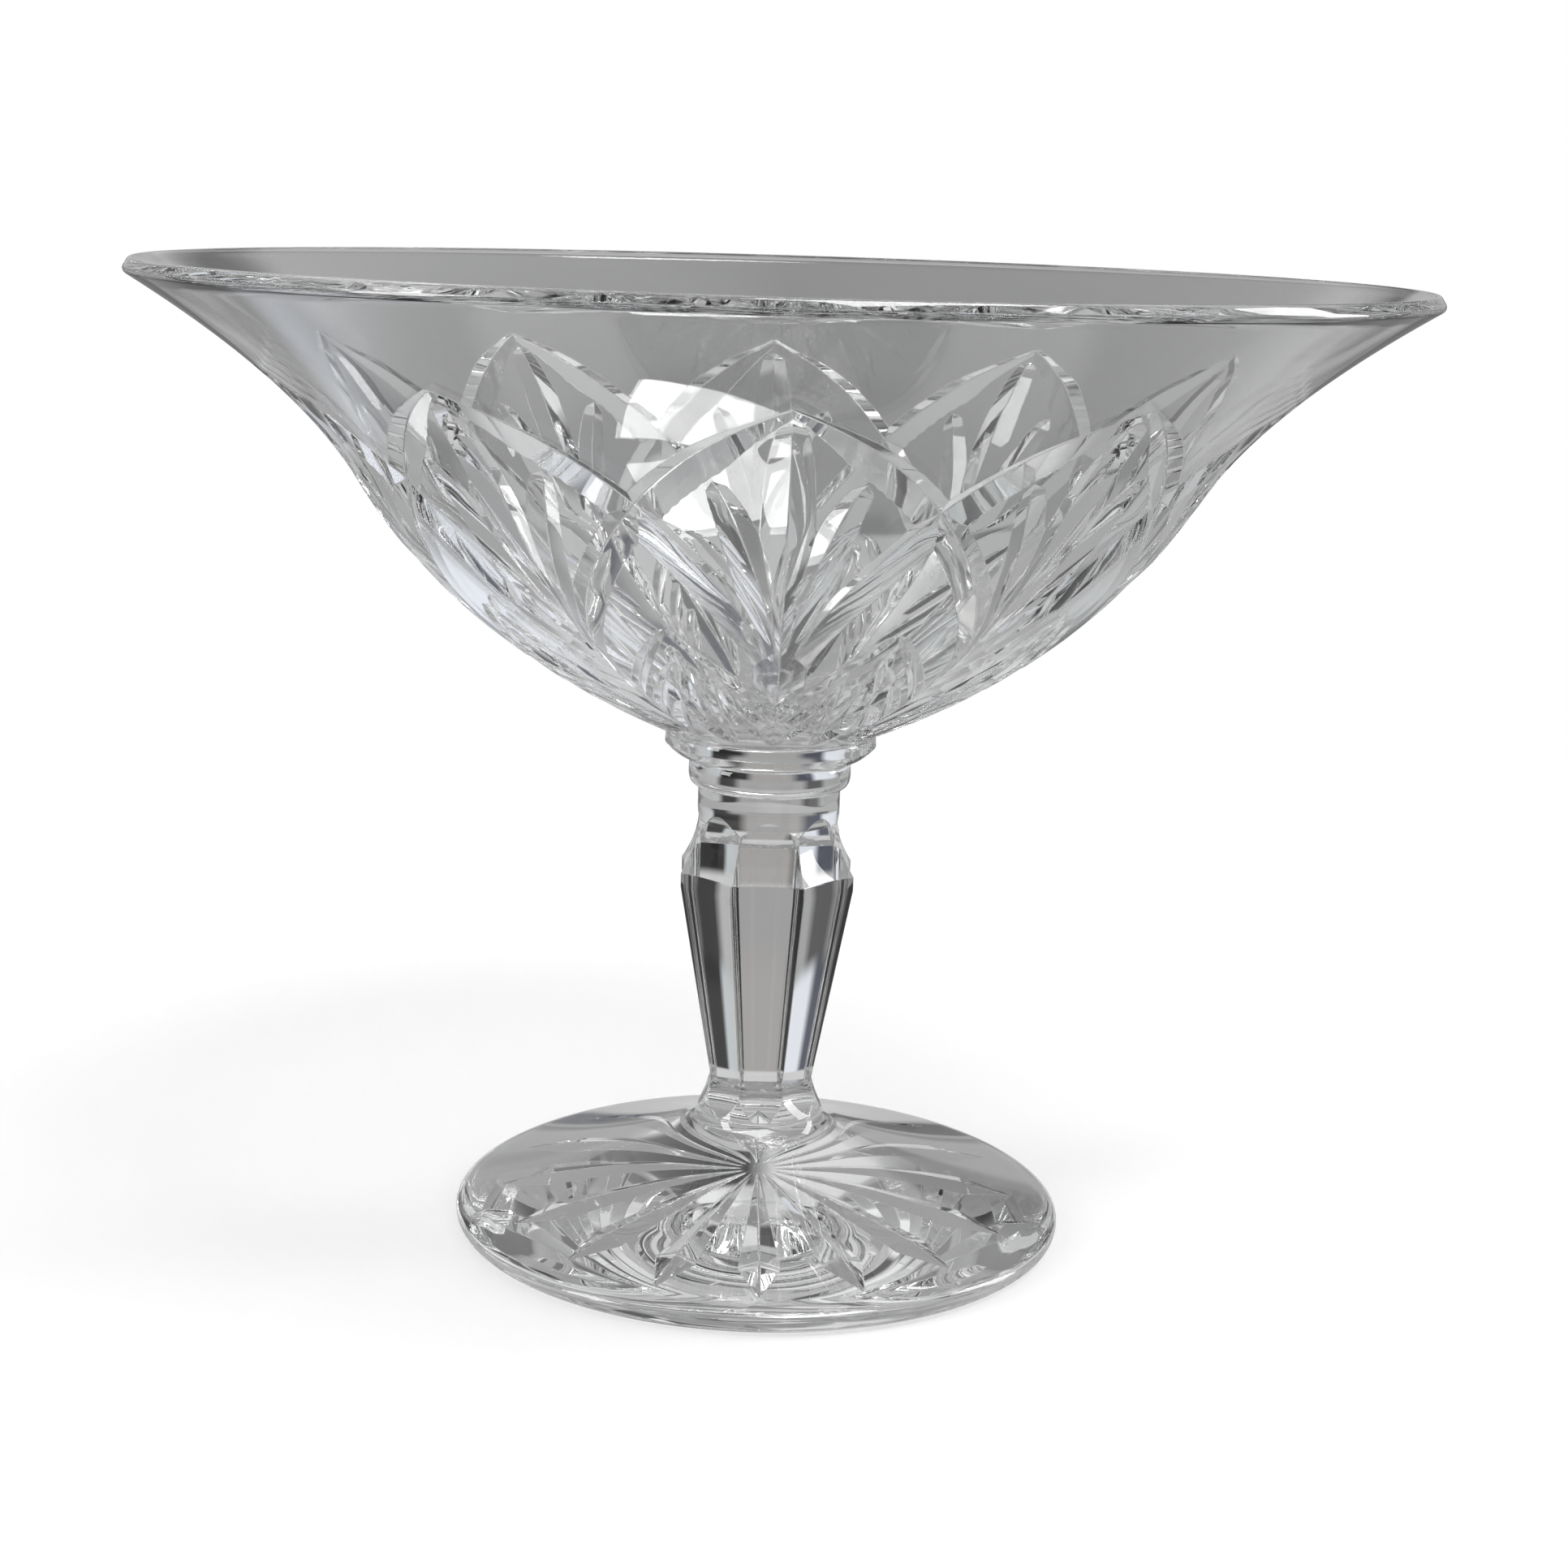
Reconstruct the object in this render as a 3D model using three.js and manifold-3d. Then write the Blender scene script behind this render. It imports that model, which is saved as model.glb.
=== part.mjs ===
// Footed cut-glass compote bowl: five gathers of glass joined on flat seats.
// Millimetres, +Z up, origin at the centre of the foot's underside. One arch faces -Y.
import * as THREE from 'three';
import { mergeVertices } from 'three/addons/utils/BufferGeometryUtils.js';
import Module from 'manifold-3d';

const wasm = await Module();
wasm.setup();

// Heights of the gathers, from the table up
const footHeight = 19;
const stemHeight = 54.5;
const lowerMereseHeight = 4.5;
const upperMereseHeight = 4.5;
const bowlHeight = 72.5;

// Radii of the flat seats where two gathers join
const stemSeatRadius = 10.25;
const neckRadius = 11.5;
const mereseSeatRadius = 12.5;
const bowlSeatRadius = 16.5;

// Bowl outside: slopes are degrees above level, and the waist is where the cup turns into the flare,
// flareHeight below the rim
const rimRadius = 100;
const rimSlope = 32;
const waistRadius = 66;
const flareHeight = 32.5;
const waistSlope = 59.3;
const seatSlope = 23.5;
const rimThickness = 2.6;
const lipRound = 0.8;
const seatWall = 3.6;

// Rings under the bowl
const upperMereseRadius = 17;
const upperMereseEdgeHeight = 2.5;
const lowerMereseRadius = 13.1;

// Stem: an apothem is the distance from the axis to the middle of the chord between two arrises, and a
// panel's middle is hollowed in from there by a share of it
const panelCount = 8;
const panelHollow = 0.03;
const panelFootHeight = 6;
const panelFootApothem = 8.3;
const panelRunOut = 2.2;
const beltHeight = 38.5;
const beltWidth = 2.2;
const beltApothem = 13.9;
const bevelTopHeight = 49;
const bevelTopApothem = 11.3;
const arrisMargin = 0.25;

// Foot
const footRadius = 50;
const footEdgeRound = 2;
const footShoulderHeight = 4;
const footShoulderWidth = 2.5;
const footShoulderSlope = 15;
const footConeRadius = 15;
const footConeHeight = 14.8;
const footConeSlope = 23.3;
const footNeckSlope = 83;

// Star cut under the foot
const starRays = 16;
const starRadius = 42;
const starWidestRadius = 33;
const starRayWidth = 6.4;
const starAngle = 60;

// Cuts on the bowl: lengths run along the outside, up from the seat or down from the rim, and angles are
// from upright to a flank. An arch's leg has legRootShare of its depth at the root, all of it between the
// shares legFullShare and legTaperShare of its length, and legTipShare of it at the tip. A blade's depth
// follows the power bladeRise at its low end and bladeFall at its tip.
const archCount = 10;
const plainBand = 21.8;
const fanRoot = 25;
const fanSpread = 1.75;
const archDepth = 1.1;
const archOuterAngle = 64;
const archInnerAngle = 75;
const legRootShare = 0.43;
const legFullShare = 0.43;
const legTaperShare = 0.86;
const legTipShare = 0.3;
const bladeAngle = 73;
const fineAngle = 60;
const bladeRise = 0.35;
const bladeFall = 0.3;
const bladeLowEnd = 4;
const middleBladeDrop = 2.4;
const middleBladeDepth = 1.4;
const sideBladeDrop = 14.5;
const sideBladeDepth = 1.15;
const sideBladeTurn = 8.4;
const shortBladeLowEnd = 3;
const shortBladeTip = 41;
const shortBladeDepth = 1.15;
const lowArchTip = 45;
const lowArchLowEnd = 19;
const lowArchDepth = 0.8;

// Facets, the reach over which a cut's direction is taken, and how far a wheel's cutter stands out of
// the glass and clears it at a pointed end
const bowlSegments = 60;
const footSegments = 48;
const ringSegments = 28;
const panelSteps = 4;
const curveRows = 6;
const cutStep = 13;
const tangentReach = 1;
const cutterLift = 1;
const tipClearance = 0.1;

const radians = THREE.MathUtils.degToRad;
const lerp = THREE.MathUtils.lerp;

// The closed mesh as a solid: shared vertices merged, pole slivers dropped
function solidOf(geometry) {
  geometry.deleteAttribute('normal');
  geometry.deleteAttribute('uv');
  const merged = mergeVertices(geometry, 1e-4);
  const corners = merged.index.array;
  const triVerts = [];
  for (let i = 0; i < corners.length; i += 3) {
    const [a, b, c] = corners.slice(i, i + 3);
    if (a !== b && b !== c && c !== a) triVerts.push(a, b, c);
  }
  return new wasm.Manifold(new wasm.Mesh({
    numProp: 3,
    vertProperties: new Float32Array(merged.attributes.position.array),
    triVerts: new Uint32Array(triVerts),
  }));
}

function geometryOf(solid) {
  const mesh = solid.getMesh();
  const geometry = new THREE.BufferGeometry();
  geometry.setAttribute('position', new THREE.BufferAttribute(mesh.vertProperties, 3));
  geometry.setIndex(new THREE.BufferAttribute(mesh.triVerts, 1));
  geometry.computeVertexNormals();
  return geometry;
}

// A named gather of clear glass, standing on its seat
function gather(name, solid, seatHeight) {
  const glass = new THREE.MeshStandardMaterial({ color: 0xdfe3e4, roughness: 0.03, metalness: 0 });
  const mesh = new THREE.Mesh(geometryOf(solid), glass);
  mesh.name = name;
  mesh.position.z = seatHeight;
  return mesh;
}

// Revolve a radius-and-height profile about +Z
function revolve(profile, segments) {
  return solidOf(new THREE.LatheGeometry(profile, segments).rotateX(Math.PI / 2));
}

const at = (radius, height) => new THREE.Vector2(radius, height);

const heading = (degrees) => at(Math.cos(radians(degrees)), Math.sin(radians(degrees)));

// A bend that leaves p along one heading and reaches q along another
function bend(p, headingP, q, headingQ) {
  const u = heading(headingP);
  const v = heading(headingQ);
  const reach = q.clone().sub(p).cross(v) / u.cross(v);
  return new THREE.QuadraticBezierCurve(p, p.clone().addScaledVector(u, reach), q);
}

// The lip's end is flat and square to the wall, between two small rounds
const lipFlat = heading(rimSlope + 90).multiplyScalar(rimThickness - 2 * lipRound);
const outerRound = at(rimRadius - lipRound, bowlHeight - lipRound - lipFlat.y);
const innerRound = outerRound.clone().add(lipFlat);
const onRound = (centre, degrees) => centre.clone().addScaledVector(heading(degrees), lipRound);

// The bowl's outside, from its seat to where the lip starts
const waist = at(waistRadius, bowlHeight - flareHeight);
const outside = new THREE.CurvePath();
outside.add(bend(at(bowlSeatRadius, 0), seatSlope, waist, waistSlope));
outside.add(bend(waist, waistSlope, onRound(outerRound, rimSlope - 90), rimSlope));
const outsideLength = outside.getLength();

// The inside lies square to the outside, at a wall that thins evenly from the seat to the rim
function insideAt(share) {
  const along = outside.getTangentAt(share);
  const wall = lerp(seatWall, rimThickness, share);
  return outside.getPointAt(share).add(at(-along.y, along.x).multiplyScalar(wall));
}

function bowlBlank() {
  const outsideRows = 2 * curveRows;
  const insideRows = curveRows + 1;
  const dishRows = 2;
  const profile = [at(0, 0)];
  for (let i = 0; i <= outsideRows; i += 1) profile.push(outside.getPointAt(i / outsideRows));
  profile.push(onRound(outerRound, 0), onRound(outerRound, rimSlope));
  profile.push(onRound(innerRound, rimSlope), onRound(innerRound, 90));
  for (let i = insideRows; i >= 0; i -= 1) profile.push(insideAt(i / insideRows));
  const dishEdge = insideAt(0);
  const dishFall = (dishEdge.x / 2) * Math.tan(radians(seatSlope));
  const dish = bend(dishEdge, seatSlope + 180, at(0, dishEdge.y - dishFall), 180);
  for (let i = 1; i <= dishRows; i += 1) profile.push(dish.getPoint(i / dishRows));
  return revolve(profile, bowlSegments);
}

// A wheel's cutter: a V swept along stations, each with a point on the glass, the outward normal, the
// direction to the right and a depth. The V opens by one angle on its left and one on its right.
function wheelCutter(stations, leftAngle, rightAngle) {
  const left = Math.tan(radians(leftAngle));
  const right = Math.tan(radians(rightAngle));
  const points = [];
  for (const { point, normal, side, depth } of stations) {
    const opening = depth + cutterLift;
    const crown = point.clone().addScaledVector(normal, cutterLift);
    points.push(point.clone().addScaledVector(normal, -depth));
    points.push(crown.clone().addScaledVector(side, opening * right));
    points.push(crown.clone().addScaledVector(side, -opening * left));
  }
  const index = [0, 1, 2];
  const last = points.length - 3;
  for (let ring = 0; ring < last; ring += 3) {
    for (let corner = 0; corner < 3; corner += 1) {
      const a = ring + corner;
      const b = ring + ((corner + 1) % 3);
      index.push(a, a + 3, b, b, a + 3, b + 3);
    }
  }
  index.push(last, last + 2, last + 1);
  return new THREE.BufferGeometry().setFromPoints(points).setIndex(index);
}

// Cut a ring of equal copies of the cutters out of a solid
function cutAround(solid, cutters, copies) {
  let rest = solid;
  for (let i = 0; i < copies; i += 1) {
    for (const cutter of cutters) {
      rest = rest.subtract(solidOf(cutter.clone().rotateZ((2 * Math.PI * i) / copies)));
    }
  }
  return rest;
}

// A direction that stands out from the axis at an azimuth from -Y, tilted up or down
function around(radius, height, azimuth) {
  return new THREE.Vector3(radius * Math.sin(azimuth), -radius * Math.cos(azimuth), height);
}

// Stations of a cut on the bowl, from its low end up to its tip. The azimuth is azimuth + turn * t^spread,
// with t = 0 at the root and t = 1 at the tip.
function bowlCut({ azimuth, turn, root, spread, low, tip, depth, swell }) {
  const pointAt = (length) => {
    const t = Math.max(0, (length - root) / (tip - root));
    const turned = radians(azimuth + turn * t ** spread);
    const share = length / outsideLength;
    const flat = outside.getPointAt(share);
    const along = outside.getTangentAt(share);
    return { point: around(flat.x, flat.y, turned), normal: around(along.y, -along.x, turned) };
  };
  const stations = [];
  const steps = Math.ceil((tip - low) / cutStep);
  for (let i = 0; i <= steps; i += 1) {
    const share = i / steps;
    const length = lerp(low, tip, share);
    const { point, normal } = pointAt(length);
    const onward = pointAt(length + tangentReach).point.sub(pointAt(length - tangentReach).point);
    const side = new THREE.Vector3().crossVectors(onward, normal).normalize();
    stations.push({ point, normal, side, depth: depth * swell(share) - tipClearance });
  }
  return stations;
}

// Share of the full depth along a blade, pointed at both ends
function bladeSwell(share) {
  const shape = (x) => x ** bladeRise * (1 - x) ** bladeFall;
  return shape(share) / shape(bladeRise / (bladeRise + bladeFall));
}

// Share of the full depth along an arch's leg, fading towards the root of the next fan and the arch's point
function legSwell(share) {
  const fromRoot = Math.min(1, share / legFullShare);
  const fromTip = Math.min(1, (1 - share) / (1 - legTaperShare));
  return lerp(legRootShare, 1, fromRoot) * lerp(legTipShare, 1, fromTip);
}

function bowlCutters() {
  const step = 360 / archCount;
  const archTop = outsideLength - plainBand;
  const fan = { azimuth: 0, root: fanRoot, spread: fanSpread };
  const leg = { ...fan, low: fanRoot, tip: archTop, depth: archDepth, swell: legSwell };
  const blade = { ...fan, turn: 0, low: bladeLowEnd, swell: bladeSwell };
  const middle = { ...blade, tip: archTop - middleBladeDrop, depth: middleBladeDepth };
  const beside = { ...blade, tip: archTop - sideBladeDrop, depth: sideBladeDepth };
  const short = { ...blade, azimuth: step / 2, low: shortBladeLowEnd, tip: shortBladeTip };
  const broad = (cut) => wheelCutter(bowlCut(cut), bladeAngle, bladeAngle);
  const fine = (cut) => wheelCutter(bowlCut(cut), fineAngle, fineAngle);
  const low = { root: lowArchLowEnd, spread: 1, low: lowArchLowEnd, tip: lowArchTip, swell: bladeSwell };
  const lowLeg = (turn) => fine({ ...low, azimuth: step / 2 - turn, turn, depth: lowArchDepth });
  return [
    wheelCutter(bowlCut({ ...leg, turn: step }), archOuterAngle, archInnerAngle),
    wheelCutter(bowlCut({ ...leg, turn: -step }), archInnerAngle, archOuterAngle),
    broad(middle),
    broad({ ...beside, turn: sideBladeTurn }),
    broad({ ...beside, turn: -sideBladeTurn }),
    fine({ ...short, depth: shortBladeDepth }),
    lowLeg(step / 2),
    lowLeg(-step / 2),
  ];
}

// The wide ring under the bowl, rounded above and coved below
function upperMerese() {
  const outline = new THREE.Path().moveTo(0, 0).lineTo(mereseSeatRadius, 0);
  const cove = (mereseSeatRadius + upperMereseRadius) / 2;
  outline.quadraticCurveTo(cove, 0, upperMereseRadius, upperMereseEdgeHeight);
  outline.quadraticCurveTo(upperMereseRadius, upperMereseHeight, bowlSeatRadius, upperMereseHeight);
  outline.lineTo(0, upperMereseHeight);
  return revolve(outline.getPoints(curveRows), ringSegments);
}

// The narrow ring, rounded all the way up
function lowerMerese() {
  const middle = lowerMereseHeight / 2;
  const outline = new THREE.Path().moveTo(0, 0).lineTo(neckRadius, 0);
  outline.quadraticCurveTo(lowerMereseRadius, 0, lowerMereseRadius, middle);
  outline.quadraticCurveTo(lowerMereseRadius, lowerMereseHeight, mereseSeatRadius, lowerMereseHeight);
  outline.lineTo(0, lowerMereseHeight);
  return revolve(outline.getPoints(curveRows), ringSegments);
}

// The stem before its panels are cut: a flared shank, a round knop and a round neck
function stemBlank() {
  const arris = (apothem) => apothem / Math.cos(Math.PI / panelCount) + arrisMargin;
  const shoulderHeight = (beltHeight + beltWidth + bevelTopHeight) / 2;
  const outline = new THREE.Path().moveTo(0, 0).lineTo(stemSeatRadius, 0);
  const shank = arris(panelFootApothem);
  outline.quadraticCurveTo(shank, panelFootHeight / 3, shank, panelFootHeight);
  outline.lineTo(arris(beltApothem), beltHeight);
  outline.lineTo(arris(beltApothem), beltHeight + beltWidth);
  outline.quadraticCurveTo(arris(beltApothem), shoulderHeight, neckRadius, bevelTopHeight);
  outline.lineTo(neckRadius, stemHeight);
  outline.lineTo(0, stemHeight);
  return revolve(outline.getPoints(curveRows), ringSegments);
}

// Revolve a profile of apothems into panels that are hollow across: the distance from the axis is
// apothem * (1 - panelHollow * (1 - u^2)), with u from -1 to 1 between two arrises
function revolvePanels(profile) {
  const half = Math.PI / panelCount;
  const geometry = new THREE.LatheGeometry(profile, panelCount * panelSteps, half).rotateX(Math.PI / 2);
  const points = geometry.attributes.position;
  for (let i = 0; i < points.count; i += 1) {
    const azimuth = Math.atan2(points.getX(i), -points.getY(i));
    const turn = azimuth - 2 * half * Math.round(azimuth / (2 * half));
    const u = Math.tan(turn) / Math.tan(half);
    const scale = (1 - panelHollow * (1 - u * u)) / Math.cos(turn);
    points.setXY(i, points.getX(i) * scale, points.getY(i) * scale);
  }
  return solidOf(geometry);
}

// The space inside all of the stem's panels: run-outs, tapering panels, belt and hollow bevels
function stemPanels() {
  const beltTop = beltHeight + beltWidth;
  const outline = new THREE.Path().moveTo(0, -panelRunOut);
  outline.lineTo(stemSeatRadius + panelRunOut, -panelRunOut);
  outline.quadraticCurveTo(panelFootApothem - arrisMargin, panelRunOut, panelFootApothem, panelFootHeight);
  outline.lineTo(beltApothem, beltHeight);
  outline.lineTo(beltApothem, beltTop);
  outline.quadraticCurveTo(bevelTopApothem, (beltTop + bevelTopHeight) / 2, bevelTopApothem, bevelTopHeight);
  outline.lineTo(beltApothem, stemHeight + panelRunOut);
  outline.lineTo(0, stemHeight + panelRunOut);
  return revolvePanels(outline.getPoints(curveRows));
}

// The foot before its star is cut: a low cone with a rounded edge and a flared neck
function footBlank() {
  const shoulder = at(footRadius - footShoulderWidth, footShoulderHeight);
  const cone = at(footConeRadius, footConeHeight);
  const neck = at(stemSeatRadius, footHeight);
  const top = bend(shoulder, 180 - footShoulderSlope, cone, 180 - footConeSlope);
  const flare = bend(cone, 180 - footConeSlope, neck, 180 - footNeckSlope);
  const outline = new THREE.Path().moveTo(0, 0).lineTo(footRadius - footEdgeRound, 0);
  outline.quadraticCurveTo(footRadius, 0, footRadius, footEdgeRound);
  outline.quadraticCurveTo(footRadius, shoulder.y - footEdgeRound / 2, shoulder.x, shoulder.y);
  const profile = outline.getPoints(curveRows);
  profile.push(...top.getPoints(curveRows).slice(1), ...flare.getPoints(curveRows).slice(1));
  profile.push(at(0, footHeight));
  return revolve(profile, footSegments);
}

// One ray of the star: narrow at the middle of the foot, widest towards the edge, pointed at its tip
function starRay() {
  const depth = starRayWidth / 2 / Math.tan(radians(starAngle));
  const normal = new THREE.Vector3(0, 0, -1);
  const side = new THREE.Vector3(1, 0, 0);
  const station = (radius, cut) => ({ point: around(radius, 0, 0), normal, side, depth: cut });
  const stations = [
    station(0, -tipClearance),
    station(starWidestRadius, depth),
    station(starRadius, -tipClearance),
  ];
  return wheelCutter(stations, starAngle, starAngle);
}

const stemSeat = footHeight;
const lowerMereseSeat = stemSeat + stemHeight;
const upperMereseSeat = lowerMereseSeat + lowerMereseHeight;
const bowlSeat = upperMereseSeat + upperMereseHeight;

const compote = new THREE.Group();
compote.name = 'compote_bowl';
compote.add(gather('foot', cutAround(footBlank(), [starRay()], starRays), 0));
compote.add(gather('stem', stemBlank().intersect(stemPanels()), stemSeat));
compote.add(gather('lower_merese', lowerMerese(), lowerMereseSeat));
compote.add(gather('upper_merese', upperMerese(), upperMereseSeat));
compote.add(gather('bowl', cutAround(bowlBlank(), bowlCutters(), archCount), bowlSeat));

export default compote;
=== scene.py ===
import math

import bpy
import numpy as np
from mathutils import Matrix, Vector


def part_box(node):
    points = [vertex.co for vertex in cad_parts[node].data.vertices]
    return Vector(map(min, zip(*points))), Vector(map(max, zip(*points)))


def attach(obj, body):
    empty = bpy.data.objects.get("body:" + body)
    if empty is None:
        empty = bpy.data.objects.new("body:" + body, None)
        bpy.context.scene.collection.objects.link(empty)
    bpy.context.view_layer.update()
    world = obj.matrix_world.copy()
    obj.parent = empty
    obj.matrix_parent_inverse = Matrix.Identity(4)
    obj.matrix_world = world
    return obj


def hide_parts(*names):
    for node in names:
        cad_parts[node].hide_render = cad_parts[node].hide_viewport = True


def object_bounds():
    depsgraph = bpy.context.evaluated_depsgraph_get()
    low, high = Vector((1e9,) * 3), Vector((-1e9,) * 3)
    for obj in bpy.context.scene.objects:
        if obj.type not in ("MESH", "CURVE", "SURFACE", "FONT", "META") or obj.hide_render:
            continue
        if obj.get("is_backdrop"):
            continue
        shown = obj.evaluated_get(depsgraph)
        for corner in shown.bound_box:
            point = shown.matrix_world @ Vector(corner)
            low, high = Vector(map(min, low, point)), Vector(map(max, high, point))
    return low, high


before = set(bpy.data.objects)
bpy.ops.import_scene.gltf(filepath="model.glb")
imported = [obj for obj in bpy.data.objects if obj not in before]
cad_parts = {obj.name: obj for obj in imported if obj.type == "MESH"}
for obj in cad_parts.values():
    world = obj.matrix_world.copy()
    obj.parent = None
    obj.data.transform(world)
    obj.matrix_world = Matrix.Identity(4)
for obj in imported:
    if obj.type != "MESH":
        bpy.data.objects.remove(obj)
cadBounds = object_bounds()
mm = 0.001
polishedSlot, cutSlot, joinSlot = 0, 1, 2
print("frame loaded")


# Shapes. Profiles are (radius, height) pairs in millimetres, azimuths run from -Y towards +X.
def heading(degrees):
    turn = np.radians(degrees)
    return np.stack([np.cos(turn), np.sin(turn)], -1)


def cross(u, v):
    return u[0] * v[1] - u[1] * v[0]


# B(t) = (1 - t)^2 p + 2 t (1 - t) c + t^2 q
def curve(p, c, q, count):
    p, c, q = np.array(p, float), np.array(c, float), np.array(q, float)
    t = np.linspace(0, 1, count)[:, None]
    return (1 - t) ** 2 * p + 2 * t * (1 - t) * c + t ** 2 * q


# A curve that leaves p along one heading and reaches q along another, with c where the two meet
def bend(p, headingP, q, headingQ, count):
    p, q = np.array(p, float), np.array(q, float)
    u, v = heading(headingP), heading(headingQ)
    return curve(p, p + u * cross(q - p, v) / cross(u, v), q, count)


def joinRows(*rows):
    points = np.concatenate([np.atleast_2d(row) for row in rows])
    step = np.hypot(*np.diff(points, axis=0).T)
    return points[np.concatenate([[True], step > 1e-6])]


def arcLength(points):
    return np.concatenate([[0], np.cumsum(np.hypot(*np.diff(points, axis=0).T))])


def around(radius, height, azimuth):
    radius, height, azimuth = np.broadcast_arrays(radius, height, azimuth)
    return np.stack([radius * np.sin(azimuth), -radius * np.cos(azimuth), height], -1)


def unit(vectors):
    return vectors / np.linalg.norm(vectors, axis=-1, keepdims=True)


# Each corner's exact surface normal travels with the mesh through the cutting
def newObject(name, points, faces, normals, materials, slots):
    mesh = bpy.data.meshes.new(name)
    mesh.from_pydata((points * mm).tolist(), [], faces)
    for material in materials:
        mesh.materials.append(material)
    mesh.polygons.foreach_set("material_index", np.broadcast_to(slots, len(faces)).astype(np.int32))
    mesh.polygons.foreach_set("use_smooth", np.ones(len(faces), bool))
    layer = mesh.attributes.new("surfaceNormal", "FLOAT_VECTOR", "CORNER")
    layer.data.foreach_set("vector", normals.ravel())
    mesh.update()
    piece = bpy.data.objects.new(name, mesh)
    bpy.context.scene.collection.objects.link(piece)
    return piece


# Normals at the low and high end of each step of a profile, shared with the next step's unless
# the profile has a crease there
def stepNormals(ring, crease=20):
    along = np.diff(ring, axis=0)
    own = unit(np.stack([along[:, 1], -along[:, 0]], -1))
    before, after = own[np.maximum(np.arange(len(own)) - 1, 0)], np.concatenate([own[1:], own[-1:]])
    limit = math.cos(math.radians(crease))

    def share(other):
        smooth = (own * other).sum(1, keepdims=True) > limit
        return unit(np.where(smooth, own + other, own))

    return share(before), share(after)


# Sections give each column its radius factor, its azimuth, and the azimuths of the normals at the
# left and right end of the face that follows it
def roundSection(columns):
    step = 2 * math.pi / columns
    turn = step * (np.arange(columns) - 0.5)
    return np.ones(columns), turn, turn, turn + step


# Panels hollowed across: out = 1 - hollow (1 - u^2), with u from -1 to 1 between two arrises
def panelSection(panels, hollow, steps=10):
    reach = math.tan(math.pi / panels)
    u = np.linspace(-1, 1, steps + 1)[:-1]
    middle = (2 * math.pi / panels * np.arange(panels))[:, None]
    side, out = reach * u, 1 - hollow * (1 - u ** 2)
    factor = np.tile(np.hypot(side, out), panels)
    turn = (middle + np.arctan2(side, out)).ravel()
    left = (middle - np.arctan(2 * hollow * u / reach)).ravel()
    right = (middle - np.arctan(2 * hollow * (u + 2 / steps) / reach)).ravel()
    return factor, turn, left, right


# A profile that starts and ends on the axis, turned round it: x = r sin(a), y = -r cos(a).
# Seams says whether its flat first and last steps are hot joins
def lathe(name, profile, section, materials, seams, slot=polishedSlot):
    ring = profile[1:-1]
    factor, turn, left, right = section
    columns = len(turn)
    grid = around(ring[:, :1] * factor, ring[:, 1:], turn)
    poles = around(np.zeros(2), profile[[0, -1], 1], 0.0)
    points = np.concatenate([grid.reshape(-1, 3), poles])
    index = np.arange(len(ring) * columns).reshape(len(ring), columns)
    nextColumn = np.roll(index, -1, axis=1)
    quads = np.stack([index[:-1], nextColumn[:-1], nextColumn[1:], index[1:]], -1).reshape(-1, 4)
    low, high = index.size, index.size + 1
    lowFan = np.stack([np.full(columns, low), nextColumn[0], index[0]], -1)
    highFan = np.stack([np.full(columns, high), index[-1], nextColumn[-1]], -1)
    first, last = stepNormals(ring)
    ends = ((first, left), (first, right), (last, right), (last, left))
    corners = [around(n[:, :1], n[:, 1:], a) for n, a in ends]
    flat = np.tile([[0.0, 0.0, -1.0]], (3 * columns, 1))
    normals = np.concatenate([np.stack(corners, -2).reshape(-1, 3), flat, -flat])
    faces = quads.tolist() + lowFan.tolist() + highFan.tolist()
    slots = np.full(len(faces), slot)
    slots[len(quads):len(quads) + columns] = joinSlot if seams[0] else slot
    slots[len(quads) + columns:] = joinSlot if seams[1] else slot
    return newObject(name, points, faces, normals, materials, slots)


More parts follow.
